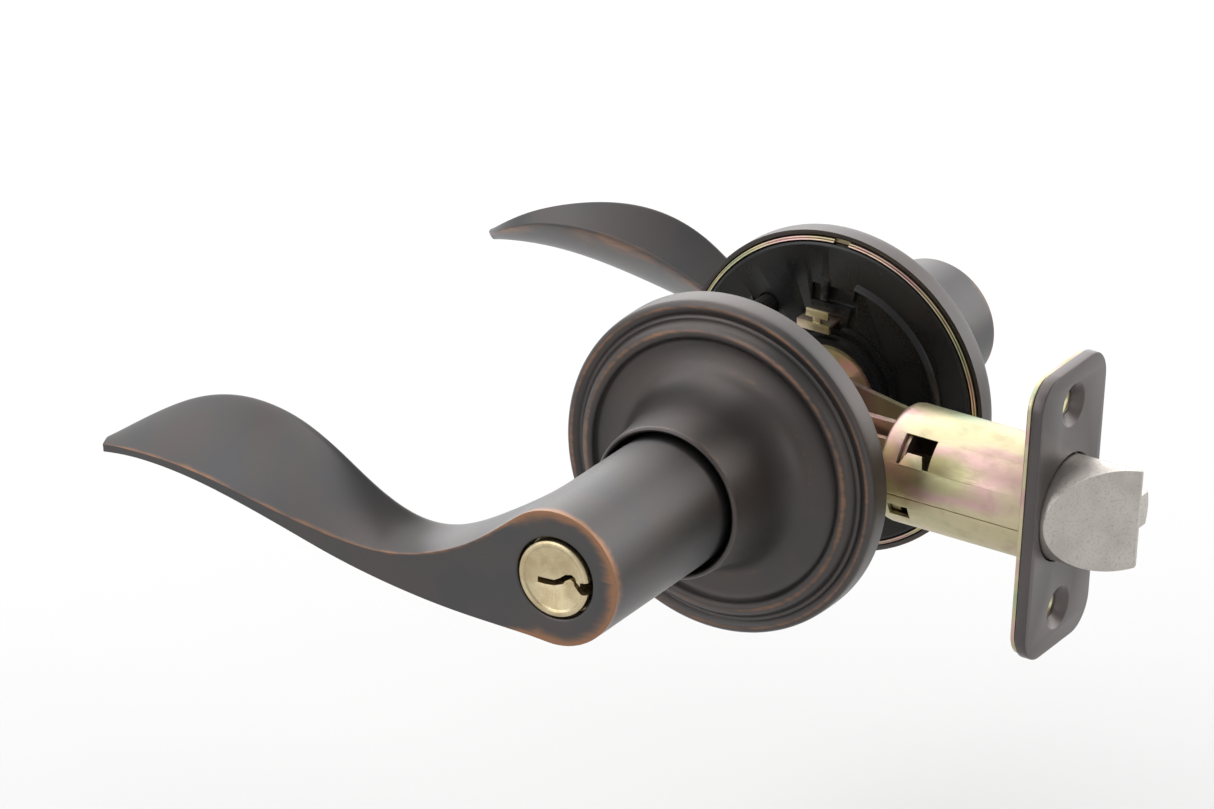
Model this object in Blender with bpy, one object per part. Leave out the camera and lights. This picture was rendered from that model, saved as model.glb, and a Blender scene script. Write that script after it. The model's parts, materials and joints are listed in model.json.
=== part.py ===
"""Keyed lever lockset for a wooden door: two wave levers on round roses, and a tubular deadlatch.

Every size below is in millimetres, and add_solid turns it into metres.
Frame: the origin is where the lever axis crosses the latch axis, in the middle of the door.
+X runs along the latch to the door's edge, -Y is the outside face of the door, +Z is up.
"""

import math

import bmesh
import bpy
from mathutils import Matrix, Vector

MM = 0.001
GAP = 0.3
DISC_PHASE = 0.37

# Door preparation.
DOOR = 38.1
BACKSET = 60.3
FACE = DOOR / 2
OUTSIDE = -1
INSIDE = 1

# Rose and mounting plates, as radius and height above the door's face.
ROSE_R = 33.0
INSIDE_ROSE_R = 32.4
ROSE_WALL = 4.0
INSIDE_ROSE_WALL = 3.6
ROSE_INNER_R = 31.4
COLLAR_R = 13.9
COLLAR_H = 24.5
PLATE_R = 31.0
POST_PLACE = 20.6
POST_ANGLE = math.radians(135)
POST_R = 3.4
SCREW_R = 2.0

# Levers.
NECK_R = 13.0
NECK_BORE = 10.4
NECK_BACK = 37.0
OUTSIDE_END = 82.3
INSIDE_END = 60.0
NECK_SIDES = 24
ROOT_FIRST = 9
ROOT_LAST = 17
ROOT_DEPTHS = (0.0, 1.3, 5.0, 10.0, 15.0)
CATCH_Y = 40.5
INSIDE_SAG = math.radians(-2.4)

# One row for each station along the blade:
# x, ridge z, ridge depth, top z, top depth, back z, back depth, bottom z.
# The ridge and the bottom edge it the front band, and depths are measured back from the lever's end face.
BLADE = (
    (-17.0, 2.3, 0.0, 4.2, 12.8, -11.2, 13.6, -12.8),
    (-25.0, -2.0, 0.0, -0.5, 10.2, -9.2, 12.8, -12.4),
    (-33.0, -4.8, 0.0, -0.6, 7.8, -6.0, 12.4, -11.6),
    (-41.0, -5.6, 0.1, 4.0, 5.5, -2.0, 12.0, -10.5),
    (-49.0, -5.1, 0.2, 10.0, 4.8, 2.2, 11.8, -9.0),
    (-58.0, -4.1, 0.4, 13.7, 6.0, 5.4, 12.1, -6.8),
    (-67.0, -2.7, 0.6, 14.2, 7.8, 7.5, 12.5, -4.8),
    (-76.0, -1.2, 0.9, 12.6, 10.0, 8.0, 13.0, -3.1),
    (-85.0, -0.6, 1.2, 9.2, 10.8, 6.6, 12.7, -2.2),
    (-92.5, -0.9, 1.6, 4.4, 8.6, 2.8, 10.1, -2.3),
    (-97.0, -1.3, 1.9, 1.0, 5.8, 0.1, 6.9, -2.9),
    (-99.6, -1.8, 2.1, -0.8, 3.6, -1.1, 4.2, -3.4),
)

# Spindle train.
SLEEVE_R = 10.1
SLEEVE_BORE = 8.9
SPINDLE_HALF = 3.8
SPINDLE_BORE = 2.9
SQUARE_HOLE = 4.1
SPINDLE_END = 24.0
BAR_WIDE = 4.6
BAR_THICK = 1.2

# Key cylinder.
PLUG_R = 7.4
PLUG_BODY_R = 6.9
SHELL_FRONT = 78.2
SHELL_BACK = 51.0

# Latch.
TUBE_R = 11.4
TUBE_BORE = 10.6
TUBE_START = 26.0
PLATE_THICK = 2.2
BACKPLATE_THICK = 0.9
FACEPLATE_WIDE = 25.4
FACEPLATE_TALL = 57.15
FACEPLATE_CORNER = 6.35
SCREW_HOLES = 41.3
BOLT_R = 10.2
BOLT_BACK = 44.0
BOLT_TIP = BACKSET + 13.5
THROW = 12.7
HORN_REACH = 13.75
HORN_ANGLE = math.radians(27.5)
HUB_R = 6.8
CAGE_END = 30.8
DRAWBAR_LOW = -4.6
DRAWBAR_HIGH = -3.1
WAIST = 4.6
WAIST_START = 26.4
BOLT_FLAT = 3.6
BOLT_FLAT_START = BACKSET - 1.0
BOLT_SPRING_Y = 0.2
PLUNGER_FLOOR = 4.0
PLUNGER_HALF = 3.45


def clear_scene():
    for obj in list(bpy.data.objects):
        bpy.data.objects.remove(obj, do_unlink=True)


def make_material(name, colour, roughness, metallic):
    material = bpy.data.materials.new(name)
    material.use_nodes = True
    shader = material.node_tree.nodes["Principled BSDF"]
    shader.inputs["Base Color"].default_value = (*colour, 1.0)
    shader.inputs["Roughness"].default_value = roughness
    shader.inputs["Metallic"].default_value = metallic
    material.diffuse_color = (*colour, 1.0)
    return material


def add_solid(name, bm, material, parent=None):
    """Makes an object from a mesh in millimetres, with its faces pointing out."""
    bmesh.ops.remove_doubles(bm, verts=bm.verts, dist=0.001)
    bmesh.ops.scale(bm, vec=(MM, MM, MM), verts=bm.verts)
    bmesh.ops.recalc_face_normals(bm, faces=bm.faces)
    mesh = bpy.data.meshes.new(name)
    bm.to_mesh(mesh)
    bm.free()
    mesh.shade_smooth()
    mesh.set_sharp_from_angle(angle=math.radians(35))
    obj = bpy.data.objects.new(name, mesh)
    bpy.context.scene.collection.objects.link(obj)
    if material:
        mesh.materials.append(material)
    obj.parent = parent
    return obj


def add_axis(name):
    axis = bpy.data.objects.new(name, None)
    bpy.context.scene.collection.objects.link(axis)
    return axis


def add_boolean(obj, helper, operation):
    helper.hide_render = True
    helper.display_type = "WIRE"
    modifier = obj.modifiers.new(helper.name, "BOOLEAN")
    modifier.operation = operation
    modifier.solver = "EXACT"
    modifier.object = helper


def cut(obj, bm, label):
    add_boolean(obj, add_solid(f"cutter_{label}", bm, None), "DIFFERENCE")


def fuse(obj, bm, label):
    add_boolean(obj, add_solid(f"body_{label}", bm, None), "UNION")


def turn_y(profile, steps, side=1, ring=True, phase=0.0):
    """Turns a profile of (radius, y) about the Y axis. A ring's profile closes on itself."""
    bm = bmesh.new()
    circles = []
    for radius, y in profile:
        if radius == 0:
            circles.append([bm.verts.new((0, side * y, 0))] * steps)
            continue
        angles = [math.tau * (step + phase) / steps for step in range(steps)]
        circles.append([bm.verts.new((radius * math.cos(a), side * y, radius * math.sin(a))) for a in angles])
    pairs = list(zip(circles, circles[1:]))
    if ring:
        pairs.append((circles[-1], circles[0]))
    for first, second in pairs:
        for step in range(steps):
            after = (step + 1) % steps
            corners = [first[step], first[after], second[after], second[step]]
            bm.faces.new(list(dict.fromkeys(corners)))
    return bm


def turn_x(profile, steps, ring=True, phase=0.0):
    """Turns a profile of (radius, x) about the X axis."""
    bm = turn_y(profile, steps, 1, ring, phase)
    bmesh.ops.rotate(bm, matrix=Matrix.Rotation(math.radians(-90), 3, "Z"), verts=bm.verts)
    return bm


def disc_y(radius, low, high, steps=24):
    """A disc, turned a little so that its corners miss its neighbours' edges."""
    return turn_y([(0, low), (radius, low), (radius, high), (0, high)], steps, 1, False, DISC_PHASE)


def disc_x(radius, low, high, steps=24):
    return turn_x([(0, low), (radius, low), (radius, high), (0, high)], steps, False, DISC_PHASE)


def ring_y(inner, outer, low, high, steps=32):
    return turn_y([(inner, low), (outer, low), (outer, high), (inner, high)], steps)


def block(low, high):
    """A box between two corners."""
    bm = bmesh.new()
    bmesh.ops.create_cube(bm, size=1)
    size = Vector(high) - Vector(low)
    middle = (Vector(high) + Vector(low)) / 2
    bmesh.ops.scale(bm, vec=size, verts=bm.verts)
    bmesh.ops.translate(bm, vec=middle, verts=bm.verts)
    return bm


def rounded_outline(half_wide, half_tall, corner, steps=5):
    """Points of a rectangle with round corners, anticlockwise."""
    points = []
    for quarter, (sx, sy) in enumerate(((1, 1), (-1, 1), (-1, -1), (1, -1))):
        for step in range(steps + 1):
            angle = math.radians(90) * (quarter + step / steps)
            x = sx * (half_wide - corner) + corner * math.cos(angle)
            y = sy * (half_tall - corner) + corner * math.sin(angle)
            points.append((x, y))
    return points


def prism(points, low, high, place):
    """Extrudes an outline between two levels; place turns (u, v, level) into a point."""
    bm = bmesh.new()
    bottom = [bm.verts.new(place(u, v, low)) for u, v in points]
    top = [bm.verts.new(place(u, v, high)) for u, v in points]
    bm.faces.new(bottom)
    bm.faces.new(top)
    for index in range(len(points)):
        after = (index + 1) % len(points)
        bm.faces.new([bottom[index], bottom[after], top[after], top[index]])
    return bm


def along_x(u, v, level):
    return (level, u, v)


def along_y(u, v, level):
    return (u, level, v)


def wire(points, radius, sides=6):
    """A round wire through the points, with flat ends."""
    bm = bmesh.new()
    places = [Vector(point) for point in points]
    normal = None
    rings = []
    for index, place in enumerate(places):
        ahead = places[min(index + 1, len(places) - 1)]
        behind = places[max(index - 1, 0)]
        tangent = (ahead - behind).normalized()
        if normal is None:
            normal = tangent.orthogonal().normalized()
        normal = (normal - tangent * normal.dot(tangent)).normalized()
        other = tangent.cross(normal)
        ring = []
        for step in range(sides):
            angle = math.tau * step / sides
            ring.append(bm.verts.new(place + radius * (math.cos(angle) * normal + math.sin(angle) * other)))
        rings.append(ring)
    for first, second in zip(rings, rings[1:]):
        for step in range(sides):
            after = (step + 1) % sides
            bm.faces.new([first[step], first[after], second[after], second[step]])
    bm.faces.new(rings[0])
    bm.faces.new(rings[-1])
    return bm


def coil(radius, low, high, turns, place, steps=12):
    """Points of a helix between two levels."""
    count = int(turns * steps)
    points = []
    for step in range(count + 1):
        angle = math.tau * step / steps
        level = low + (high - low) * step / count
        points.append(place(radius * math.cos(angle), radius * math.sin(angle), level))
    return points


def cut_flat(bm, point, normal):
    """Cuts away what lies in front of a plane, and closes the cut."""
    geometry = bm.verts[:] + bm.edges[:] + bm.faces[:]
    result = bmesh.ops.bisect_plane(
        bm, geom=geometry, plane_co=point, plane_no=normal, clear_outer=True, clear_inner=False
    )
    edges = [item for item in result["geom_cut"] if isinstance(item, bmesh.types.BMEdge)]
    bmesh.ops.contextual_create(bm, geom=edges)


# Levers


def blade_loop(station, side, end):
    """The points around one station, in the order of the neck's opening."""
    x, ridge_z, ridge_d, top_z, top_d, back_z, back_d, bottom_z = station
    ridge = Vector((x, ridge_d, ridge_z))
    bottom = Vector((x, ridge_d + 0.3, bottom_z))
    back = Vector((x, back_d, back_z))
    top = Vector((x, top_d, top_z))
    across = ROOT_LAST - ROOT_FIRST
    shares = [depth / ROOT_DEPTHS[-1] for depth in ROOT_DEPTHS]
    crown = min(0.8, 0.05 * (top - ridge).length)
    keel = min(1.6, 0.1 * (back - bottom).length)
    points = [ridge.lerp(bottom, step / across) for step in range(across + 1)]
    for share in shares[1:]:
        bulge = Vector((0, 0, -keel * math.sin(math.pi * share)))
        points.append(bottom.lerp(back, share) + bulge)
    points += [back.lerp(top, step / across) for step in range(1, across + 1)]
    for share in reversed(shares[1:-1]):
        bulge = Vector((0, 0, crown * math.sin(math.pi * share)))
        points.append(ridge.lerp(top, share) + bulge)
    return [Vector((p.x, side * (end - p.y), p.z)) for p in points]


def neck_columns(bm, rows, radius, side, end):
    """A grid of points round the neck, one list for each depth."""
    grid = []
    for depth in rows:
        circle = []
        for column in range(NECK_SIDES):
            angle = math.tau * column / NECK_SIDES
            point = (radius * math.cos(angle), side * (end - depth), radius * math.sin(angle))
            circle.append(bm.verts.new(point))
        grid.append(circle)
    return grid


def bridge(bm, first, second):
    count = len(first)
    for step in range(count):
        after = (step + 1) % count
        bm.faces.new([first[step], first[after], second[after], second[step]])


def lever_mesh(side, end, face_hole, seat_depth):
    """A hollow neck with a wave-shaped blade that grows out of its -X side."""
    bm = bmesh.new()
    length = end - NECK_BACK
    rest = [ROOT_DEPTHS[-1] + (length - ROOT_DEPTHS[-1]) * share for share in (1 / 3, 2 / 3, 1)]
    rows = list(ROOT_DEPTHS) + rest
    neck = neck_columns(bm, rows, NECK_R, side, end)
    deep = len(ROOT_DEPTHS) - 1
    for row in range(len(rows) - 1):
        for column in range(NECK_SIDES):
            if row < deep and ROOT_FIRST <= column < ROOT_LAST:
                continue
            after = (column + 1) % NECK_SIDES
            bm.faces.new([neck[row][column], neck[row][after], neck[row + 1][after], neck[row + 1][column]])
    inside = neck_columns(bm, [length], NECK_BORE, side, end)[0]
    shoulder = neck_columns(bm, [seat_depth], NECK_BORE, side, end)[0]
    mouth = neck_columns(bm, [seat_depth], face_hole, side, end)[0]
    lip = neck_columns(bm, [0.0], face_hole, side, end)[0]
    face = neck_columns(bm, [0.0], (face_hole + NECK_R) / 2, side, end)[0]
    chain = [neck[-1], inside, shoulder, mouth, lip, face, neck[0]]
    for first, second in zip(chain, chain[1:]):
        bridge(bm, first, second)

    loop = [neck[0][column] for column in range(ROOT_FIRST, ROOT_LAST + 1)]
    loop += [neck[row][ROOT_LAST] for row in range(1, deep + 1)]
    loop += [neck[deep][column] for column in range(ROOT_LAST - 1, ROOT_FIRST - 1, -1)]
    loop += [neck[row][ROOT_FIRST] for row in range(deep - 1, 0, -1)]
    for station in BLADE:
        after = [bm.verts.new(point) for point in blade_loop(station, side, end)]
        bridge(bm, loop, after)
        loop = after
    close_tip(bm, loop, ROOT_LAST - ROOT_FIRST, deep)
    return bm


def close_tip(bm, loop, across, deep):
    """Fills the blade's last loop with a grid."""
    grid = [[None] * (deep + 1) for _ in range(across + 1)]
    for step in range(across + 1):
        grid[step][0] = loop[step]
        grid[across - step][deep] = loop[across + deep + step]
    for row in range(1, deep):
        grid[across][row] = loop[across + row]
        grid[0][deep - row] = loop[(2 * across + deep + row) % len(loop)]
    for step in range(1, across):
        for row in range(1, deep):
            share = row / deep
            grid[step][row] = bm.verts.new(grid[step][0].co.lerp(grid[step][deep].co, share))
    for step in range(across):
        for row in range(deep):
            corners = [grid[step][row], grid[step + 1][row], grid[step + 1][row + 1], grid[step][row + 1]]
            bm.faces.new(corners)


def add_lever(name, side, end, face_hole, seat_depth, sag, material, axis):
    bm = lever_mesh(side, end, face_hole, seat_depth)
    bmesh.ops.rotate(bm, matrix=Matrix.Rotation(sag, 3, "Y"), verts=bm.verts)
    lever = add_solid(name, bm, material, axis)
    hole = disc_y(1.9, 8.0, NECK_R + 2, 12)
    bmesh.ops.rotate(hole, matrix=Matrix.Rotation(math.radians(-90), 3, "X"), verts=hole.verts)
    bmesh.ops.translate(hole, vec=(0, side * CATCH_Y, 0), verts=hole.verts)
    cut(lever, hole, f"{name}_catch")
    return lever


def add_catch(name, side, material, axis):
    """The short pin that holds a lever on its sleeve, in a hole under the neck."""
    pin = disc_y(1.6, 8.3, 12.6, 12)
    bmesh.ops.rotate(pin, matrix=Matrix.Rotation(math.radians(-90), 3, "X"), verts=pin.verts)
    bmesh.ops.translate(pin, vec=(0, side * CATCH_Y, 0), verts=pin.verts)
    add_solid(name, pin, material, axis)


# Roses, plates and fasteners


def rose_profile(rim, wall):
    """The rose's section as (radius, height above the door), up the outside and back down the inside."""
    outer = [
        (rim, 0.0),
        (rim, wall),
        (rim - 0.4, wall + 0.8),
        (rim - 1.4, wall + 1.3),
        (30.0, 4.8),
        (29.0, 5.2),
        (28.3, 6.2),
        (27.3, 6.8),
        (26.2, 6.7),
        (25.5, 5.6),
        (23.5, 5.4),
        (20.5, 6.1),
        (18.2, 7.9),
        (16.6, 11.4),
        (15.7, 17.0),
        (15.0, 24.0),
        (14.6, COLLAR_H),
        (COLLAR_R, COLLAR_H),
    ]
    inner = [
        (14.4, 14.0),
        (16.4, 7.6),
        (20.0, 4.7),
        (24.0, 4.0),
        (30.8, 3.7),
        (ROSE_INNER_R, 3.1),
        (ROSE_INNER_R, 0.0),
    ]
    return [(radius, FACE + height) for radius, height in outer + inner]


def add_rose(name, side, rim, wall, material):
    return add_solid(name, turn_y(rose_profile(rim, wall), 36, side), material)


def post_places():
    """The two fixings lie across the spindle from each other, clear of the latch."""
    across = Vector((math.cos(POST_ANGLE), 0, math.sin(POST_ANGLE))) * POST_PLACE
    return (("upper", across), ("lower", -across))


def add_outside_plate(material):
    low = FACE + GAP
    bm = ring_y(SLEEVE_R + 0.4, PLATE_R, low, low + 1.6)
    bmesh.ops.scale(bm, vec=(1, OUTSIDE, 1), verts=bm.verts)
    plate = add_solid("exterior_mounting_plate", bm, material)
    for label, place in post_places():
        hole = disc_y(POST_R + GAP, -FACE - 3, -FACE + 1, 16)
        bmesh.ops.translate(hole, vec=place, verts=hole.verts)
        cut(plate, hole, f"outside_plate_{label}")


def add_posts(material):
    """Threaded posts with a flange that bears on the outside plate."""
    flange = FACE + GAP + 1.6 + GAP
    profile = [
        (SCREW_R + GAP, -8.0),
        (POST_R, -8.0),
        (POST_R, flange),
        (5.0, flange),
        (5.0, flange + 1.2),
        (SCREW_R + GAP, flange + 1.2),
    ]
    for label, place in post_places():
        bm = turn_y(profile, 16, OUTSIDE)
        bmesh.ops.translate(bm, vec=place, verts=bm.verts)
        add_solid(f"threaded_post_{label}", bm, material)


def add_screws(material):
    """Mounting screws with a cross recess, from the inside plate into the posts."""
    head = FACE + 2.2
    profile = [
        (0, -12.0),
        (SCREW_R - 0.5, -12.0),
        (SCREW_R, -11.0),
        (SCREW_R, head),
        (3.9, head),
        (3.6, head + 1.2),
        (2.4, head + 1.8),
        (0, head + 1.9),
    ]
    for label, place in post_places():
        bm = turn_y(profile, 16, 1, False)
        bmesh.ops.translate(bm, vec=place, verts=bm.verts)
        screw = add_solid(f"mounting_screw_{label}", bm, material)
        for way, (wide, tall) in (("flat", (2.6, 0.5)), ("upright", (0.5, 2.6))):
            slot = block((-wide, head + 0.9, -tall), (wide, head + 3, tall))
            bmesh.ops.translate(slot, vec=place, verts=slot.verts)
            cut(screw, slot, f"screw_{label}_{way}")


def add_inside_plate(material):
    """A stamped plate under the inside rose, with holes for the screws."""
    bm = turn_y([(13.0, 20.6), (26.0, 20.6), (26.0, 21.0), (13.0, 21.0)], 40)
    plate = add_solid("interior_mounting_plate", bm, material)
    for label, place in post_places():
        hole = disc_y(SCREW_R + GAP, 18, 23, 12)
        bmesh.ops.translate(hole, vec=place, verts=hole.verts)
        cut(plate, hole, f"inside_plate_{label}")


def sector(inner, outer, start, stop, steps=10):
    """Outline of a ring's sector between two angles in degrees."""
    angles = [math.radians(start + (stop - start) * step / steps) for step in range(steps + 1)]
    points = [(outer * math.cos(a), outer * math.sin(a)) for a in angles]
    points += [(inner * math.cos(a), inner * math.sin(a)) for a in reversed(angles)]
    return points


def add_liner(material):
    """The black back of the inside rose: a boss round the sleeve, a sunk sector and a window for the clip."""
    low = FACE - 0.6
    profile = [
        (10.5, low - 2.0),
        (11.6, low - 2.0),
        (11.8, low - 0.8),
        (12.8, low - 0.8),
        (13.0, low),
        (30.9, low),
        (31.1, low + 0.3),
        (31.1, FACE + 0.7),
        (30.8, FACE + 1.2),
        (10.5, FACE + 1.2),
    ]
    liner = add_solid("interior_rose_liner", turn_y(profile, 40), material)
    for index, (start, stop) in enumerate(((-70, 80), (150, 250))):
        sunk = prism(sector(14.4, 23.7, start, stop), low - 1, low + 1.0, along_y)
        cut(liner, sunk, f"liner_sunk_{index}")
    window = block((-6.6, low - 1, 13.4), (1.6, FACE + 2, 15.9))
    cut(liner, window, "liner_window")
    for label, place in post_places():
        hole = disc_y(SCREW_R + GAP, low - 1, FACE + 2, 12)
        bmesh.ops.translate(hole, vec=place, verts=hole.verts)
        cut(liner, hole, f"liner_{label}")


def add_clip(material):
    """The spring clip that grips the inside rose: a bent strip whose tab comes out through the liner."""
    path = [
        (FACE - 4.6, 14.0),
        (FACE - 4.6, 15.4),
        (FACE + 0.5, 15.4),
        (FACE + 0.5, 14.9),
        (FACE - 3.9, 14.9),
        (FACE - 3.9, 14.0),
    ]
    bm = prism(path, -6.0, 1.0, lambda u, v, level: (level, u, v))
    add_solid("rose_spring_clip", bm, material)


def add_return_spring(name, side, low, high, material):
    """A coiled return spring round a sleeve, with its two legs bent outwards."""
    points = coil(12.1, side * low, side * high, 2.25, along_y)
    first = Vector(points[0])
    last = Vector(points[-1])
    points.insert(0, first + Vector((3.2, 0, -1.2)))
    points.append(last + Vector((1.2, 0, 3.2)))
    add_solid(name, wire(points, 0.7, 5), material)


# Spindle, sleeves and key cylinder


def square(half):
    return [(half, half), (-half, half), (-half, -half), (half, -half)]


def add_sleeve(name, side, high, material, axis):
    """The tube that carries a lever, broached square where it meets the spindle."""
    low = 17.2
    wall = 20.2
    outer = [(0, low), (SLEEVE_R, low), (SLEEVE_R, high)]
    profile = outer + [(SLEEVE_BORE, high), (SLEEVE_BORE, wall), (0, wall)]
    sleeve = add_solid(name, turn_y(profile, 24, side, False), material, axis)
    cut(sleeve, prism(square(SQUARE_HOLE), side * 16, side * 22, along_y), f"{name}_square")
    catch = disc_y(1.9, 7.0, SLEEVE_R + 1, 12)
    bmesh.ops.rotate(catch, matrix=Matrix.Rotation(math.radians(-90), 3, "X"), verts=catch.verts)
    bmesh.ops.translate(catch, vec=(0, side * CATCH_Y, 0), verts=catch.verts)
    cut(sleeve, catch, f"{name}_catch")


def add_spindle(material, axis):
    spindle = add_solid(
        "square_spindle", prism(square(SPINDLE_HALF), -SPINDLE_END, SPINDLE_END, along_y), material, axis
    )
    cut(spindle, disc_y(SPINDLE_BORE, -SPINDLE_END - 1, SPINDLE_END + 1, 16), "spindle_bore")


def add_locking_bar(material, axis):
    """A flat bar through the spindle, with a slotted socket for the key cylinder's tailpiece."""
    low = (-BAR_WIDE / 2, -27.0, -BAR_THICK / 2)
    high = (BAR_WIDE / 2, 54.0, BAR_THICK / 2)
    bar = add_solid("locking_bar", block(low, high), material, axis)
    fuse(bar, disc_y(4.2, -33.0, -26.0, 16), "bar_socket")
    cut(bar, block((-3.4, -34.0, -0.9), (3.4, -28.0, 0.9)), "bar_slot")


def add_cylinder_shell(material, axis):
    profile = [
        (PLUG_BODY_R + GAP, SHELL_BACK),
        (SLEEVE_R, SHELL_BACK),
        (SLEEVE_R, SHELL_FRONT),
        (PLUG_BODY_R + GAP, SHELL_FRONT),
    ]
    add_solid("cylinder_shell", turn_y(profile, 32, OUTSIDE), material, axis)


def add_plug(material, axis):
    """The key plug: a rimmed face, a body in the shell, a tail boss and a warded keyway."""
    face = OUTSIDE_END + 0.5
    profile = [
        (0, face - 0.25),
        (6.2, face - 0.25),
        (6.5, face),
        (7.0, face),
        (PLUG_R, face - 0.4),
        (PLUG_R, SHELL_FRONT + 0.6),
        (PLUG_BODY_R, SHELL_FRONT + 0.6),
        (PLUG_BODY_R, SHELL_BACK - 0.4),
        (3.5, SHELL_BACK - 0.4),
        (3.5, SHELL_BACK - 3.0),
        (0, SHELL_BACK - 3.0),
    ]
    plug = add_solid("key_plug", turn_y(profile, 32, OUTSIDE, False), material, axis)
    slot = ((-2.2, 0.9), (0.4, 0.9), (1.2, 0.1), (2.4, 0.1), (3.2, 0.8), (8.0, 0.8))
    under = ((8.0, -0.8), (4.0, -0.8), (3.2, -0.9), (2.4, -1.5), (0.8, -1.5), (0.2, -0.5), (-2.2, -0.5))
    cut(plug, prism(slot + under, -face - 1, -SHELL_BACK - 3, along_y), "keyway")


def add_plug_retainer(material, axis):
    bm = ring_y(3.8, 8.4, -SHELL_BACK + 0.7, -SHELL_BACK + 1.7, 20)
    retainer = add_solid("plug_retainer", bm, material, axis)
    cut(retainer, block((-2.6, -SHELL_BACK, 0), (2.6, -SHELL_BACK + 3, 10)), "retainer_gap")


def add_tailpiece(material, axis):
    low = (-3.0, -SHELL_BACK + 3.3, -0.5)
    high = (3.0, -28.4, 0.5)
    add_solid("cylinder_tailpiece", block(low, high), material, axis)


def add_turn_button(material, axis):
    """The inside thumb turn: a shaft, a collar and a flat grip."""
    face = INSIDE_END + GAP
    profile = [
        (0, 55.6),
        (3.7, 55.6),
        (3.7, face),
        (6.6, face),
        (7.0, face + 0.5),
        (6.4, face + 1.4),
        (0, face + 1.6),
    ]
    button = add_solid("turn_button", turn_y(profile, 28, INSIDE, False), material, axis)
    grip = prism(rounded_outline(6.0, 1.4, 1.3, 3), face + 0.8, face + 6.2, along_y)
    fuse(button, grip, "button_grip")


# Latch


def add_latch_tube(material):
    """A rolled tube with its inner end turned in, a window, a slot and a folded tab."""
    end = BACKSET - PLATE_THICK - GAP - BACKPLATE_THICK - GAP
    profile = [
        (TUBE_BORE, TUBE_START + 0.6),
        (TUBE_BORE + 0.3, TUBE_START),
        (TUBE_R - 0.3, TUBE_START),
        (TUBE_R, TUBE_START + 0.7),
        (TUBE_R, end),
        (TUBE_BORE, end),
    ]
    tube = add_solid("latch_tube", turn_x(profile, 32), material)
    window = block((30.4, -14.0, -2.6), (36.0, -8.0, 2.6))
    bmesh.ops.rotate(window, matrix=Matrix.Rotation(math.radians(-38), 3, "X"), verts=window.verts)
    cut(tube, window, "tube_window")
    slot = block((28.8, -14.0, -1.5), (33.0, -8.0, 1.5))
    bmesh.ops.rotate(slot, matrix=Matrix.Rotation(math.radians(28), 3, "X"), verts=slot.verts)
    cut(tube, slot, "tube_slot")


def add_latch_cage(material):
    """Two cheeks that carry the hub, joined by an end ring inside the tube."""
    cage = add_solid("latch_cage", disc_x(TUBE_BORE - GAP, 27.0, CAGE_END, 28), material)
    outline = [(-9.5, -9.6), (9.0, -9.6), (23.0, -7.2), (23.0, 7.2), (9.0, 9.6), (-9.5, 9.6)]
    for label, low, high in (("outside", -7.3, -6.1), ("inside", 6.1, 7.3)):
        fuse(cage, prism(outline, low, high, along_y), f"cheek_{label}")
        tongue = block((22.0, low, -6.9), (27.6, high, 6.9))
        fuse(cage, tongue, f"tongue_{label}")
    cut(cage, disc_y(HUB_R + GAP, -9, 9, 28), "cage_bearing")
    slot = block((24.0, DRAWBAR_LOW - GAP, -WAIST - GAP), (33.0, DRAWBAR_HIGH + GAP, WAIST + GAP))
    cut(cage, slot, "cage_slot")


def add_hub(material, axis):
    """The cam on the spindle: a round hub and a horn that draws the latch back."""
    hub = add_solid("retractor_hub", disc_y(HUB_R, -7.6, 7.6, 28), material, axis)
    outline = [(-1.6, 4.0), (1.6, 4.0), (1.6, HORN_REACH), (0.9, 15.0), (-0.9, 15.0), (-1.6, HORN_REACH)]
    horn = prism(outline, -1.6, 1.6, along_y)
    bmesh.ops.rotate(horn, matrix=Matrix.Rotation(HORN_ANGLE, 3, "Y"), verts=horn.verts)
    fuse(hub, horn, "horn")
    cut(hub, prism(square(SQUARE_HOLE), -9, 9, along_y), "hub_square")


def add_drawbar(material, axis):
    """The slotted plate that pulls the bolt: the hub's horn pushes its lug."""
    plate = block((-8.6, DRAWBAR_LOW, -9.2), (BOLT_BACK + 5.6, DRAWBAR_HIGH, 9.2))
    drawbar = add_solid("drawbar", plate, material, axis)
    slot = block((-HUB_R - GAP, -6, -HUB_R - GAP), (THROW + HUB_R + GAP, 0, HUB_R + GAP))
    cut(drawbar, slot, "drawbar_slot")
    for label, low, high in (("upper", WAIST, 12), ("lower", -12, -WAIST)):
        cut(drawbar, block((WAIST_START, -6, low), (BOLT_BACK + 7, 0, high)), f"drawbar_waist_{label}")
    face = HORN_REACH * math.sin(HORN_ANGLE) - 1.6 - 0.4
    lug = block((face - 2.4, DRAWBAR_LOW, 12.3), (face, 1.5, 14.3))
    fuse(drawbar, lug, "drawbar_lug")
    riser = block((face - 2.4, DRAWBAR_LOW, 8.0), (face, DRAWBAR_HIGH, 13.0))
    fuse(drawbar, riser, "drawbar_riser")


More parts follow.
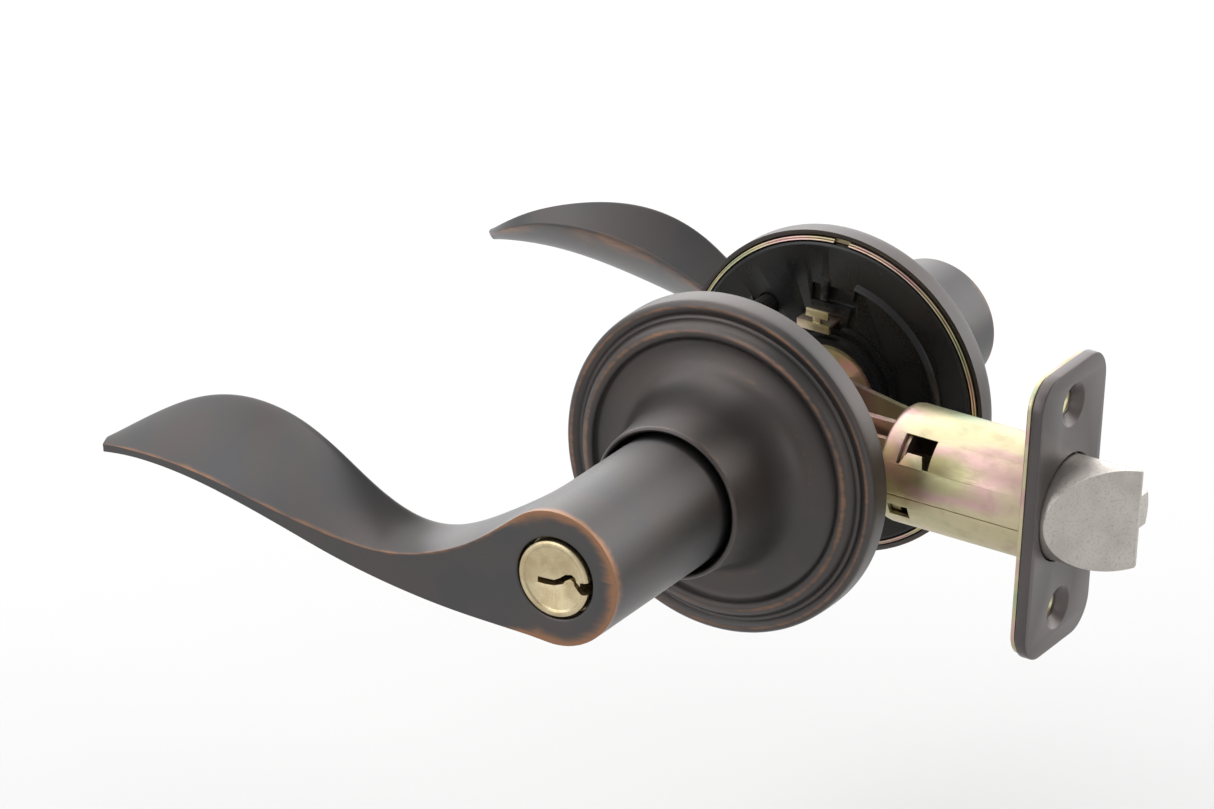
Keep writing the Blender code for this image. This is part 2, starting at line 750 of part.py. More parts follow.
def add_bolt(material, axis):
    """The full-round bolt: bevelled towards the outside, bored for its spring, slotted for the plunger."""
    bm = disc_x(BOLT_R, BOLT_BACK, BOLT_TIP, 40)
    start = Vector((BACKSET + 0.7, -BOLT_R, 0))
    stop = Vector((BOLT_TIP, 2.9, 0))
    run = stop - start
    cut_flat(bm, start, Vector((run.y, -run.x, 0)))
    bolt = add_solid("latch_bolt", bm, material, axis)
    cut(bolt, block((BOLT_BACK + 1.5, PLUNGER_FLOOR, -3.85), (BOLT_TIP + 1, 12, 3.85)), "bolt_slot")
    cut(bolt, block((BOLT_FLAT_START, BOLT_FLAT, -12), (BOLT_TIP + 1, 12, 12)), "bolt_flat")
    tail_low = (BOLT_BACK - 1, DRAWBAR_LOW - GAP, -WAIST - GAP)
    tail_high = (BOLT_BACK + 6, DRAWBAR_HIGH + GAP, WAIST + GAP)
    cut(bolt, block(tail_low, tail_high), "bolt_tail")
    bore = disc_x(2.9, BOLT_BACK - 1, BOLT_BACK + 13.5, 16)
    bmesh.ops.translate(bore, vec=(0, BOLT_SPRING_Y, 0), verts=bore.verts)
    cut(bolt, bore, "bolt_bore")


def add_plunger(material, axis):
    """The deadlocking plunger: a bar with a round outer side that follows the bolt's outline."""
    outer = 9.5
    points = [(PLUNGER_FLOOR + GAP, -PLUNGER_HALF)]
    for step in range(7):
        z = PLUNGER_HALF * (step / 3 - 1)
        points.append((math.sqrt(outer**2 - z**2), z))
    points.append((PLUNGER_FLOOR + GAP, PLUNGER_HALF))
    add_solid("deadlock_plunger", prism(points, 58.0, 72.6, along_x), material, axis)


def add_latch_springs(material, bolt_axis):
    offset = Vector((0, BOLT_SPRING_Y, 0))
    places = [Vector(p) + offset for p in coil(2.1, CAGE_END + 0.9, BOLT_BACK + 12.4, 8, along_x, 8)]
    add_solid("bolt_spring", wire(places, 0.4, 4), material)
    middle = Vector((0, 6.9, 0))
    places = [Vector(p) + middle for p in coil(1.2, BOLT_BACK + 2.2, 57.3, 5, along_x, 8)]
    add_solid("plunger_spring", wire(places, 0.25, 4), material, bolt_axis)


def add_face_plate(name, low, high, half_wide, half_tall, corner, material, countersunk):
    """A latch plate with round corners, a round hole for the bolt and two screw holes."""
    outline = rounded_outline(half_wide, half_tall, corner)
    plate = add_solid(name, prism(outline, low, high, along_x), material)
    cut(plate, disc_x(BOLT_R + GAP, low - 1, high + 1, 32), f"{name}_bolt")
    for label, z in (("upper", SCREW_HOLES / 2), ("lower", -SCREW_HOLES / 2)):
        profile = [(0, low - 1), (2.3, low - 1), (2.3, high - 1.8)]
        profile += [(4.4, high + 0.1), (4.4, high + 1), (0, high + 1)]
        if not countersunk:
            profile = [(0, low - 1), (3.0, low - 1), (3.0, high + 1), (0, high + 1)]
        hole = turn_x(profile, 20, False)
        bmesh.ops.translate(hole, vec=(0, 0, z), verts=hole.verts)
        cut(plate, hole, f"{name}_{label}")
    return plate


def build():
    clear_scene()
    bronze = make_material("oil_rubbed_bronze", (0.045, 0.036, 0.032), 0.42, 0.85)
    brown = make_material("bronze_plate", (0.075, 0.058, 0.05), 0.45, 0.85)
    zinc = make_material("yellow_zinc", (0.62, 0.53, 0.36), 0.38, 1.0)
    nickel = make_material("satin_nickel", (0.56, 0.52, 0.47), 0.36, 1.0)
    brass = make_material("key_brass", (0.72, 0.62, 0.4), 0.32, 1.0)
    steel = make_material("steel", (0.5, 0.5, 0.5), 0.35, 1.0)
    black = make_material("black_moulding", (0.012, 0.012, 0.012), 0.4, 0.0)

    outside_axis = add_axis("exterior_lever_axis")
    inside_axis = add_axis("interior_lever_axis")
    hub_axis = add_axis("hub_axis")
    key_axis = add_axis("key_axis")
    button_axis = add_axis("button_axis")
    bolt_axis = add_axis("bolt_axis")
    plunger_axis = add_axis("plunger_axis")

    add_rose("exterior_rose", OUTSIDE, ROSE_R, ROSE_WALL, bronze)
    add_outside_plate(zinc)
    add_posts(zinc)
    add_return_spring("exterior_return_spring", OUTSIDE, 23.0, 28.0, steel)
    add_lever("exterior_lever", OUTSIDE, OUTSIDE_END, PLUG_R + 0.4, 3.8, 0.0, bronze, outside_axis)
    add_catch("lever_catch", OUTSIDE, steel, outside_axis)
    add_sleeve("exterior_sleeve", OUTSIDE, 48.0, zinc, outside_axis)
    add_cylinder_shell(brass, outside_axis)
    add_plug(brass, key_axis)
    add_plug_retainer(steel, key_axis)
    add_tailpiece(steel, key_axis)

    add_rose("interior_rose", INSIDE, INSIDE_ROSE_R, INSIDE_ROSE_WALL, bronze)
    add_liner(black)
    add_inside_plate(zinc)
    add_clip(zinc)
    add_screws(bronze)
    add_return_spring("interior_return_spring", INSIDE, 23.0, 28.0, steel)
    add_lever("interior_lever", INSIDE, INSIDE_END, 4.0, 4.0, INSIDE_SAG, bronze, inside_axis)
    add_catch("lever_set_screw", INSIDE, steel, inside_axis)
    add_sleeve("interior_sleeve", INSIDE, 48.0, zinc, inside_axis)
    add_turn_button(bronze, button_axis)
    add_locking_bar(steel, button_axis)

    add_spindle(zinc, hub_axis)
    add_hub(brass, hub_axis)
    add_latch_cage(zinc)
    add_latch_tube(zinc)
    front = BACKSET
    back = BACKSET - PLATE_THICK
    half_wide = FACEPLATE_WIDE / 2
    half_tall = FACEPLATE_TALL / 2
    add_face_plate("latch_faceplate", back, front, half_wide, half_tall, FACEPLATE_CORNER, brown, True)
    back -= GAP
    low = back - BACKPLATE_THICK
    add_face_plate(
        "latch_backplate", low, back, half_wide - 0.5, half_tall - 0.5, FACEPLATE_CORNER - 0.5, zinc, False
    )
    add_bolt(nickel, bolt_axis)
    add_drawbar(zinc, bolt_axis)
    add_plunger(nickel, plunger_axis)
    add_latch_springs(steel, bolt_axis)


build()
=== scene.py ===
import json
import math

import bmesh
import bpy
from mathutils import Matrix, Vector


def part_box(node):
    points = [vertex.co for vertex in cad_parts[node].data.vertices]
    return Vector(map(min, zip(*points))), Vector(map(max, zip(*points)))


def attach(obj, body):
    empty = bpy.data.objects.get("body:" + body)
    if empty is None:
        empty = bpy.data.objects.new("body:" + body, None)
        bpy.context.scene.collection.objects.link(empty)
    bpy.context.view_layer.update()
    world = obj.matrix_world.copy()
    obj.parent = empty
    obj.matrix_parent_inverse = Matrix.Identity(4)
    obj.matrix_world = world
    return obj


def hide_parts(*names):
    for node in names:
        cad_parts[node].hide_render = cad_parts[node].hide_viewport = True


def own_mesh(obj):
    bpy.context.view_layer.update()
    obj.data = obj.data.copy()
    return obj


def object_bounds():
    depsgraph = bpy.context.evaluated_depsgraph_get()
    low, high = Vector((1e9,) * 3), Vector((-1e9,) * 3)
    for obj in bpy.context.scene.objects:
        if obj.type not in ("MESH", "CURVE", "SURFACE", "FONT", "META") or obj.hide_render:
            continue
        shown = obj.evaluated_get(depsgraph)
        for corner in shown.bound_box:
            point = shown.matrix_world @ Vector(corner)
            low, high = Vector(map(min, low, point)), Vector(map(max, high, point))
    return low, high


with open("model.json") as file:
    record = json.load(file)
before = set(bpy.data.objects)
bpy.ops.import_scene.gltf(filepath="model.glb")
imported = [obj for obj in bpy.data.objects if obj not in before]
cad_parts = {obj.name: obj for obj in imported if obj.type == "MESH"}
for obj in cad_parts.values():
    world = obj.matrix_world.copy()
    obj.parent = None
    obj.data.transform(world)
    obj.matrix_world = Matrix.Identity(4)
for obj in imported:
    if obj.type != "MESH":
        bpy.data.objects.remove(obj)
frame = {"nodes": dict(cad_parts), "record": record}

# Lengths below are in millimetres in the CAD frame, and solid() turns them into metres.
# The door's outside face looks along -Y, the latch runs along +X, and +Z is up.

CAD_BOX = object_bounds()
MM = 0.001
OUTSIDE = -1
INSIDE = 1


def box_mm(node):
    low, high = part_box(node)
    return low / MM, high / MM


# Driving places, from the frame.
FACE = box_mm("interior_rose")[0].y
ROSE_R = box_mm("exterior_rose")[1].x
INSIDE_ROSE_R = box_mm("interior_rose")[1].x
ROSE_TOP = box_mm("interior_rose")[1].y
OUTSIDE_END = -box_mm("exterior_lever")[0].y
INSIDE_END = box_mm("interior_lever")[1].y
SLEEVE_R = box_mm("exterior_sleeve")[1].x
SLEEVE_LOW = box_mm("interior_sleeve")[0].y
SLEEVE_HIGH = box_mm("interior_sleeve")[1].y
PLUG_R = box_mm("key_plug")[1].x
PLUG_FACE = -box_mm("key_plug")[0].y
PLUG_BACK = -box_mm("key_plug")[1].y
SHELL_FRONT = -box_mm("cylinder_shell")[0].y
SHELL_BACK = -box_mm("cylinder_shell")[1].y
BACKSET = box_mm("latch_faceplate")[1].x
PLATE_BACK = box_mm("latch_faceplate")[0].x
BACKPLATE_FRONT = box_mm("latch_backplate")[1].x
BACKPLATE_BACK = box_mm("latch_backplate")[0].x
TUBE_R = box_mm("latch_tube")[1].z
TUBE_START = box_mm("latch_tube")[0].x
TUBE_END = box_mm("latch_tube")[1].x
BOLT_R = box_mm("latch_bolt")[1].z
BOLT_BACK = box_mm("latch_bolt")[0].x
BOLT_TIP = box_mm("latch_bolt")[1].x
PLUNGER_LOW = box_mm("deadlock_plunger")[0].x
PLUNGER_HIGH = box_mm("deadlock_plunger")[1].x
CATCH_Y = box_mm("lever_set_screw")[0].y + 1.6
CATCH_HOLE_R = 1.9

# Levers: the neck, and one row for each station along the blade:
# x, ridge z, ridge depth, top z, top depth, back z, back depth, bottom z.
NECK_R = 13.0
NECK_BORE = 10.4
NECK_BACK = 37.0
NECK_SIDES = 24
ROOT_FIRST = 9
ROOT_LAST = 17
ROOT_DEPTHS = (0.0, 1.3, 5.0, 10.0, 15.0)
INSIDE_SAG = math.radians(-2.4)
OUTSIDE_SEAT = 3.8
INSIDE_SEAT = 4.0
TURN_HOLE = 4.0
PLUG_CLEARANCE = 0.4
BLADE = (
    (-17.0, 2.3, 0.0, 4.2, 12.8, -11.2, 13.6, -12.8),
    (-25.0, -2.0, 0.0, -0.5, 10.2, -9.2, 12.8, -12.4),
    (-33.0, -4.8, 0.0, -0.6, 7.8, -6.0, 12.4, -11.6),
    (-41.0, -5.6, 0.1, 4.0, 5.5, -2.0, 12.0, -10.5),
    (-49.0, -5.1, 0.2, 10.0, 4.8, 2.2, 11.8, -9.0),
    (-58.0, -4.1, 0.4, 13.7, 6.0, 5.4, 12.1, -6.8),
    (-67.0, -2.7, 0.6, 14.2, 7.8, 7.5, 12.5, -4.8),
    (-76.0, -1.2, 0.9, 12.6, 10.0, 8.0, 13.0, -3.1),
    (-85.0, -0.6, 1.2, 9.2, 10.8, 6.6, 12.7, -2.2),
    (-92.5, -0.9, 1.6, 4.4, 8.6, 2.8, 10.1, -2.3),
    (-97.0, -1.3, 1.9, 1.0, 5.8, 0.1, 6.9, -2.9),
    (-99.6, -1.8, 2.1, -0.8, 3.6, -1.1, 4.2, -3.4),
)

# Subdivision draws a circle of NECK_SIDES points in by this share.
ROUND_SHRINK = 0.9886
SUBDIVISIONS = 3
END_CREASE = 0.55
BORE_CREASE = 0.8
RIDGE_CREASE = 0.7
TIP_CREASE = 0.6

# How worn the lever is: at its end face's edge, on either side of that edge, and across its back edge.
EDGE_WEAR = 1.6
FACE_WEAR = 0.8
NECK_WEAR = 0.6
BACK_WEAR = (0.0, 0.35, 0.8, 0.35, 0.0)

# Roses and liner.
ROSE_WALL = 4.0
INSIDE_ROSE_WALL = 3.6
LINER_FACE = FACE - 0.6
LINER_SECTORS = (("right", -78, 80), ("left", 140, 250))
POST_OFFSET = 14.57
RETURN_SPRING_R = 12.1

# Latch.
PLATE_SCREW_Z = 20.65
PLATE_CORNER = 6.35
BACKPLATE_CORNER = 5.85
BOLT_CLEARANCE = 0.3
BOLT_FLAT = 3.6
BOLT_SPRING_Y = 0.2
PLUNGER_FLOOR = 4.3
PLUNGER_HALF = 3.45
PLUNGER_ROUND = 9.5
PLUNGER_SPRING_Y = 6.9
WINDOW_TURN = -38
SLOT_TURN = 28
SEAM_TURN = 9

# Camera.
CAMERA_TURN = math.radians(29.82)
CAMERA_RISE = math.radians(24.38)
CAMERA_ROLL = math.radians(2.89)
CAMERA_AWAY = 1.392
CAMERA_ASIDE = -0.03296
CAMERA_ABOVE = 0.00383
CAMERA_LENS = 219.5

# Stage: each light's name, place and size in metres, power and colour.
# The floor lies PRESSED_REACH below the set at rest, out of reach of the pressed levers.
LIGHTS = (
    ("light_main", (-0.9, 0.0, 1.1), 2.2, 25.0, (1.0, 1.0, 1.0)),
    ("light_behind_left", (-0.75, 1.15, 0.7), 1.5, 14.0, (1.0, 1.0, 1.0)),
    ("light_behind_right", (0.7, 1.2, 0.6), 1.4, 14.0, (1.0, 1.0, 1.0)),
    ("light_front", (-0.8, -1.4, 0.5), 1.1, 8.0, (1.0, 1.0, 1.0)),
    ("light_right", (1.3, -0.7, 0.4), 0.9, 2.0, (1.0, 0.98, 0.96)),
)
PRESSED_REACH = 0.065
FLOOR_HALF = 4.0
FLOOR_SHADE = 0.6
SKY = 0.5


# Mesh helpers


def solid(name, bm):
    """Makes an object in metres from a mesh in millimetres."""
    bmesh.ops.remove_doubles(bm, verts=bm.verts, dist=0.0005)
    bmesh.ops.scale(bm, vec=(MM, MM, MM), verts=bm.verts)
    bmesh.ops.recalc_face_normals(bm, faces=bm.faces)
    mesh = bpy.data.meshes.new(name)
    bm.to_mesh(mesh)
    bm.free()
    obj = bpy.data.objects.new(name, mesh)
    bpy.context.scene.collection.objects.link(obj)
    return obj


def apply_modifiers(obj):
    bpy.context.view_layer.update()
    graph = bpy.context.evaluated_depsgraph_get()
    mesh = bpy.data.meshes.new_from_object(obj.evaluated_get(graph))
    obj.modifiers.clear()
    obj.data = mesh


def boolean(obj, bm, operation):
    helper = solid("helper", bm)
    modifier = obj.modifiers.new("boolean", "BOOLEAN")
    modifier.operation = operation
    modifier.object = helper
    apply_modifiers(obj)
    bpy.data.objects.remove(helper)


def cut(obj, bm):
    boolean(obj, bm, "DIFFERENCE")


def fuse(obj, bm):
    boolean(obj, bm, "UNION")


def soften(obj, width, segments=2, angle=30):
    """Rounds the sharp edges by a width in millimetres."""
    modifier = obj.modifiers.new("soften", "BEVEL")
    modifier.width = width * MM
    modifier.segments = segments
    modifier.limit_method = "ANGLE"
    modifier.angle_limit = math.radians(angle)
    modifier.use_clamp_overlap = True
    modifier.miter_outer = "MITER_ARC"


def dress(obj, slot, body, *nodes, sharp=40):
    """Gives a piece its smooth shading, finish and body, and hides the CAD nodes that it stands for."""
    if obj.modifiers:
        apply_modifiers(obj)
    obj.data.shade_smooth()
    obj.data.set_sharp_from_angle(angle=math.radians(sharp))
    obj.data.materials.clear()
    obj.data.materials.append(FINISHES[slot])
    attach(obj, body)
    if nodes:
        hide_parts(*nodes)
    return obj


def turned(profile, side=1, steps=160, ring=True, wear=None):
    """Turns a profile of (radius, y) about the Y axis; wear gives the worn share at a radius and a y."""
    bm = bmesh.new()
    layer = bm.verts.layers.float.new("wear")
    circles = []
    for radius, y in profile:
        if radius == 0:
            circles.append([bm.verts.new((0, side * y, 0))] * steps)
            continue
        circle = []
        for step in range(steps):
            angle = math.tau * step / steps
            vert = bm.verts.new((radius * math.cos(angle), side * y, radius * math.sin(angle)))
            vert[layer] = wear(radius, y) if wear else 0.0
            circle.append(vert)
        circles.append(circle)
    pairs = list(zip(circles, circles[1:]))
    if ring:
        pairs.append((circles[-1], circles[0]))
    for first, second in pairs:
        for step in range(steps):
            after = (step + 1) % steps
            corners = [first[step], first[after], second[after], second[step]]
            bm.faces.new(list(dict.fromkeys(corners)))
    return bm


def onto_x(bm):
    """Swings a shape turned about Y onto the X axis."""
    bmesh.ops.rotate(bm, matrix=Matrix.Rotation(math.radians(-90), 3, "Z"), verts=bm.verts)
    return bm


def onto_z(bm):
    """Swings a shape turned about Y onto the -Z axis."""
    bmesh.ops.rotate(bm, matrix=Matrix.Rotation(math.radians(-90), 3, "X"), verts=bm.verts)
    return bm


def moved(bm, x=0.0, y=0.0, z=0.0):
    bmesh.ops.translate(bm, vec=(x, y, z), verts=bm.verts)
    return bm


def spun_round_x(bm, degrees):
    bmesh.ops.rotate(bm, matrix=Matrix.Rotation(math.radians(degrees), 3, "X"), verts=bm.verts)
    return bm


def disc(radius, low, high, steps=64):
    return turned([(0, low), (radius, low), (radius, high), (0, high)], 1, steps, False)


def block(low, high):
    bm = bmesh.new()
    bmesh.ops.create_cube(bm, size=1)
    bmesh.ops.scale(bm, vec=Vector(high) - Vector(low), verts=bm.verts)
    bmesh.ops.translate(bm, vec=(Vector(high) + Vector(low)) / 2, verts=bm.verts)
    return bm


def along_x(u, v, level):
    return (level, u, v)


def along_y(u, v, level):
    return (u, level, v)


def along_z(u, v, level):
    return (u, v, level)


def prism(points, low, high, place):
    """Extrudes an outline between two levels."""
    bm = bmesh.new()
    bottom = [bm.verts.new(place(u, v, low)) for u, v in points]
    top = [bm.verts.new(place(u, v, high)) for u, v in points]
    bm.faces.new(bottom)
    bm.faces.new(top)
    for index in range(len(points)):
        after = (index + 1) % len(points)
        bm.faces.new([bottom[index], bottom[after], top[after], top[index]])
    return bm


def rounded_outline(half_wide, half_tall, corner, steps=12):
    points = []
    for quarter, (sx, sy) in enumerate(((1, 1), (-1, 1), (-1, -1), (1, -1))):
        for step in range(steps + 1):
            angle = math.radians(90) * (quarter + step / steps)
            u = sx * (half_wide - corner) + corner * math.cos(angle)
            v = sy * (half_tall - corner) + corner * math.sin(angle)
            points.append((u, v))
    return points


def sector(inner, outer, start, stop, steps=48):
    angles = [math.radians(start + (stop - start) * step / steps) for step in range(steps + 1)]
    points = [(outer * math.cos(a), outer * math.sin(a)) for a in angles]
    return points + [(inner * math.cos(a), inner * math.sin(a)) for a in reversed(angles)]


def rounded(points, rounds=3, closed=False):
    """Rounds an outline's corners by cutting each of them again and again."""
    for _ in range(rounds):
        pairs = list(zip(points, points[1:]))
        if closed:
            pairs.append((points[-1], points[0]))
        finer = []
        for (a, b), (c, d) in pairs:
            finer.append((a * 0.75 + c * 0.25, b * 0.75 + d * 0.25))
            finer.append((a * 0.25 + c * 0.75, b * 0.25 + d * 0.75))
        points = finer if closed else [points[0]] + finer[1:-1] + [points[-1]]
    return points


def wire(points, radius, sides=12):
    """A round wire through the points, with flat ends."""
    bm = bmesh.new()
    places = [Vector(point) for point in points]
    normal = None
    rings = []
    for index, place in enumerate(places):
        ahead = places[min(index + 1, len(places) - 1)]
        behind = places[max(index - 1, 0)]
        tangent = (ahead - behind).normalized()
        if normal is None:
            normal = tangent.orthogonal().normalized()
        normal = (normal - tangent * normal.dot(tangent)).normalized()
        other = tangent.cross(normal)
        ring = []
        for step in range(sides):
            angle = math.tau * step / sides
            ring.append(bm.verts.new(place + radius * (math.cos(angle) * normal + math.sin(angle) * other)))
        rings.append(ring)
    for first, second in zip(rings, rings[1:]):
        for step in range(sides):
            after = (step + 1) % sides
            bm.faces.new([first[step], first[after], second[after], second[step]])
    bm.faces.new(rings[0])
    bm.faces.new(rings[-1])
    return bm


def coil(radius, low, high, turns, place, steps=40):
    count = int(turns * steps)
    points = []
    for step in range(count + 1):
        angle = math.tau * step / steps
        level = low + (high - low) * step / count
        points.append(place(radius * math.cos(angle), radius * math.sin(angle), level))
    return points


# Finishes


class Finish:
    """A material's node tree, with short calls for the nodes that the finishes share."""

    def __init__(self, name, metallic, colour=(0.5, 0.5, 0.5)):
        self.material = bpy.data.materials.new(name)
        self.material.use_nodes = True
        self.material.diffuse_color = (*colour, 1.0)
        self.nodes = self.material.node_tree.nodes
        self.links = self.material.node_tree.links
        self.surface = self.nodes["Principled BSDF"]
        self.surface.inputs["Metallic"].default_value = metallic
        self.place = self.nodes.new("ShaderNodeTexCoord").outputs["Object"]

    def drive(self, socket, output):
        self.links.new(output, self.surface.inputs[socket])

    def noise(self, size, detail=3.0, stretch=(1.0, 1.0, 1.0)):
        """Noise whose features are about size millimetres across, longer along a stretched axis."""
        mapping = self.nodes.new("ShaderNodeMapping")
        mapping.inputs["Scale"].default_value = [1 / (size * MM * share) for share in stretch]
        self.links.new(self.place, mapping.inputs["Vector"])
        noise = self.nodes.new("ShaderNodeTexNoise")
        noise.inputs["Scale"].default_value = 1.0
        noise.inputs["Detail"].default_value = detail
        self.links.new(mapping.outputs["Vector"], noise.inputs["Vector"])
        return noise.outputs["Fac"]

    def radius_noise(self, size, axis):
        """Noise that changes only with the distance from an axis, as a lathe leaves it."""
        flat = self.nodes.new("ShaderNodeVectorMath")
        flat.operation = "MULTIPLY"
        flat.inputs[1].default_value = [0.0 if letter == axis else 1.0 for letter in "XYZ"]
        self.links.new(self.place, flat.inputs[0])
        length = self.nodes.new("ShaderNodeVectorMath")
        length.operation = "LENGTH"
        self.links.new(flat.outputs["Vector"], length.inputs[0])
        noise = self.nodes.new("ShaderNodeTexNoise")
        noise.noise_dimensions = "1D"
        noise.inputs["Scale"].default_value = 1 / (size * MM)
        noise.inputs["Detail"].default_value = 2.0
        self.links.new(length.outputs["Value"], noise.inputs["W"])
        return noise.outputs["Fac"]

    def attribute(self, name):
        node = self.nodes.new("ShaderNodeAttribute")
        node.attribute_name = name
        return node.outputs["Fac"]

    def between(self, value, low, high, first=0.0, last=1.0):
        """Maps low..high smoothly to first..last."""
        node = self.nodes.new("ShaderNodeMapRange")
        node.interpolation_type = "SMOOTHSTEP"
        node.inputs["From Min"].default_value = low
        node.inputs["From Max"].default_value = high
        node.inputs["To Min"].default_value = first
        node.inputs["To Max"].default_value = last
        self.links.new(value, node.inputs["Value"])
        return node.outputs["Result"]

    def maths(self, operation, first, second):
        node = self.nodes.new("ShaderNodeMath")
        node.operation = operation
        for socket, value in zip(node.inputs, (first, second)):
            if isinstance(value, float):
                socket.default_value = value
            else:
                self.links.new(value, socket)
        return node.outputs["Value"]

    def blend(self, factor, first, second, mode="MIX"):
        node = self.nodes.new("ShaderNodeMix")
        node.data_type = "RGBA"
        node.blend_type = mode
        self.links.new(factor, node.inputs["Factor"])
        for socket, value in zip(node.inputs[6:8], (first, second)):
            if isinstance(value, tuple):
                socket.default_value = (*value, 1.0)
            else:
                self.links.new(value, socket)
        return node.outputs[2]

    def ramp(self, factor, *stops):
        node = self.nodes.new("ShaderNodeValToRGB")
        elements = node.color_ramp.elements
        while len(elements) < len(stops):
            elements.new(0.5)
        for element, (position, colour) in zip(elements, stops):
            element.position = position
            element.color = (*colour, 1.0)
        self.links.new(factor, node.inputs["Fac"])
        return node.outputs["Color"]

    def bump(self, height, depth, strength=1.0):
        node = self.nodes.new("ShaderNodeBump")
        node.inputs["Distance"].default_value = depth * MM
        node.inputs["Strength"].default_value = strength
        self.links.new(height, node.inputs["Height"])
        self.drive("Normal", node.outputs["Normal"])


def bronze(name, dark, warm, rough):
    """Oil-rubbed bronze: a dark lacquered skin, rubbed through to copper where the mesh is marked as worn."""
    finish = Finish(name, 0.92, dark)
    cloud = finish.between(finish.noise(16, 3), 0.35, 0.65)
    base = finish.blend(cloud, dark, warm)
    streak = finish.maths("MULTIPLY", finish.noise(0.9, 4, (5.0, 1.0, 1.0)), 0.8)
    patch = finish.maths("MULTIPLY", finish.noise(11, 2), 0.9)
    where = finish.maths("ADD", finish.attribute("wear"), finish.maths("ADD", streak, patch))
    worn = finish.between(where, 1.3, 2.2)
    finish.drive("Base Color", finish.blend(worn, base, (0.26, 0.13, 0.068)))
    grain = finish.noise(0.22, 2)
    lathe = finish.radius_noise(0.35, "Y")
    finish.drive("Roughness", finish.between(grain, 0.2, 0.8, rough - 0.05, rough + 0.07))
    finish.bump(finish.maths("ADD", grain, finish.maths("MULTIPLY", lathe, 0.35)), 0.012, 0.35)
    finish.surface.inputs["Coat Weight"].default_value = 0.5
    finish.surface.inputs["Coat Roughness"].default_value = 0.42
    return finish.material


def yellow_zinc(name):
    """Zinc with a yellow chromate: gold with faint pink and green clouds, and fine drawing marks."""
    finish = Finish(name, 1.0, (0.6, 0.5, 0.32))
    cloud = finish.noise(11, 1.5, (2.6, 1.0, 1.0))
    base = finish.ramp(
        cloud,
        (0.32, (0.35, 0.41, 0.27)),
        (0.42, (0.53, 0.48, 0.30)),
        (0.52, (0.58, 0.50, 0.34)),
        (0.60, (0.56, 0.37, 0.35)),
        (0.70, (0.41, 0.38, 0.22)),
    )
    stain = finish.between(finish.noise(3.5, 5), 0.45, 0.75, 0.0, 0.4)
    finish.drive("Base Color", finish.blend(stain, base, (0.30, 0.26, 0.16)))
    grain = finish.noise(0.3, 3, (5.0, 1.0, 1.0))
    finish.drive("Roughness", finish.between(grain, 0.2, 0.8, 0.34, 0.48))
    finish.bump(grain, 0.012, 0.4)
    return finish.material


def satin_nickel(name):
    """Cast and tumbled nickel, with a fine speckle."""
    finish = Finish(name, 1.0, (0.6, 0.56, 0.52))
    speckle = finish.noise(0.45, 4)
    cloud = finish.between(finish.noise(6, 2), 0.3, 0.7)
    base = finish.blend(cloud, (0.46, 0.43, 0.40), (0.54, 0.51, 0.47))
    fleck = finish.between(speckle, 0.5, 0.72, 0.0, 0.6)
    finish.drive("Base Color", finish.blend(fleck, base, (0.36, 0.33, 0.3)))
    finish.drive("Roughness", finish.between(speckle, 0.3, 0.7, 0.30, 0.44))
    finish.bump(speckle, 0.03, 0.4)
    return finish.material


def key_brass(name):
    """Machined brass, a little tarnished."""
    finish = Finish(name, 1.0, (0.72, 0.6, 0.38))
    speckle = finish.noise(0.3, 4)
    cloud = finish.between(finish.noise(4, 3), 0.35, 0.7)
    base = finish.blend(cloud, (0.60, 0.51, 0.33), (0.46, 0.37, 0.22))
    tarnish = finish.between(speckle, 0.52, 0.75, 0.0, 0.5)
    finish.drive("Base Color", finish.blend(tarnish, base, (0.34, 0.26, 0.14)))
    finish.drive("Roughness", finish.between(speckle, 0.3, 0.7, 0.26, 0.42))
    finish.bump(finish.maths("ADD", speckle, finish.radius_noise(0.25, "Y")), 0.012, 0.4)
    return finish.material


def spring_steel(name):
    """Bright steel with fine drawing marks."""
    finish = Finish(name, 1.0, (0.55, 0.54, 0.52))
    grain = finish.noise(0.25, 3)
    cloud = finish.between(finish.noise(5, 3), 0.35, 0.7)
    finish.drive("Base Color", finish.blend(cloud, (0.58, 0.57, 0.54), (0.44, 0.42, 0.38)))
    finish.drive("Roughness", finish.between(grain, 0.25, 0.75, 0.18, 0.34))
    finish.bump(grain, 0.01, 0.35)
    return finish.material


def black_moulding(name):
    """Glossy black moulded nylon, with a faint flow pattern and dust."""
    finish = Finish(name, 0.0, (0.012, 0.012, 0.012))
    finish.surface.inputs["Specular IOR Level"].default_value = 0.35
    flow = finish.noise(7, 3)
    dust = finish.between(finish.noise(0.5, 4), 0.58, 0.8, 0.0, 0.35)
    finish.drive("Base Color", finish.blend(dust, (0.009, 0.009, 0.010), (0.035, 0.034, 0.032)))
    finish.drive("Roughness", finish.between(flow, 0.3, 0.7, 0.22, 0.36))
    finish.bump(finish.noise(0.6, 2), 0.01, 0.25)
    return finish.material


FINISHES = {
    "oil_rubbed_bronze": bronze("oil_rubbed_bronze_worn", (0.058, 0.057, 0.060), (0.068, 0.060, 0.058), 0.42),
    "bronze_plate": bronze("bronze_plate_worn", (0.080, 0.070, 0.068), (0.100, 0.085, 0.080), 0.40),
    "yellow_zinc": yellow_zinc("yellow_zinc_clouded"),
    "satin_nickel": satin_nickel("satin_nickel_speckled"),
    "key_brass": key_brass("key_brass_machined"),
    "steel": spring_steel("spring_steel_drawn"),
    "black_moulding": black_moulding("black_moulding_gloss"),
}


ROSE_FINISH = bronze("oil_rubbed_bronze_rose", (0.060, 0.054, 0.053), (0.071, 0.060, 0.056), 0.42)


# Levers


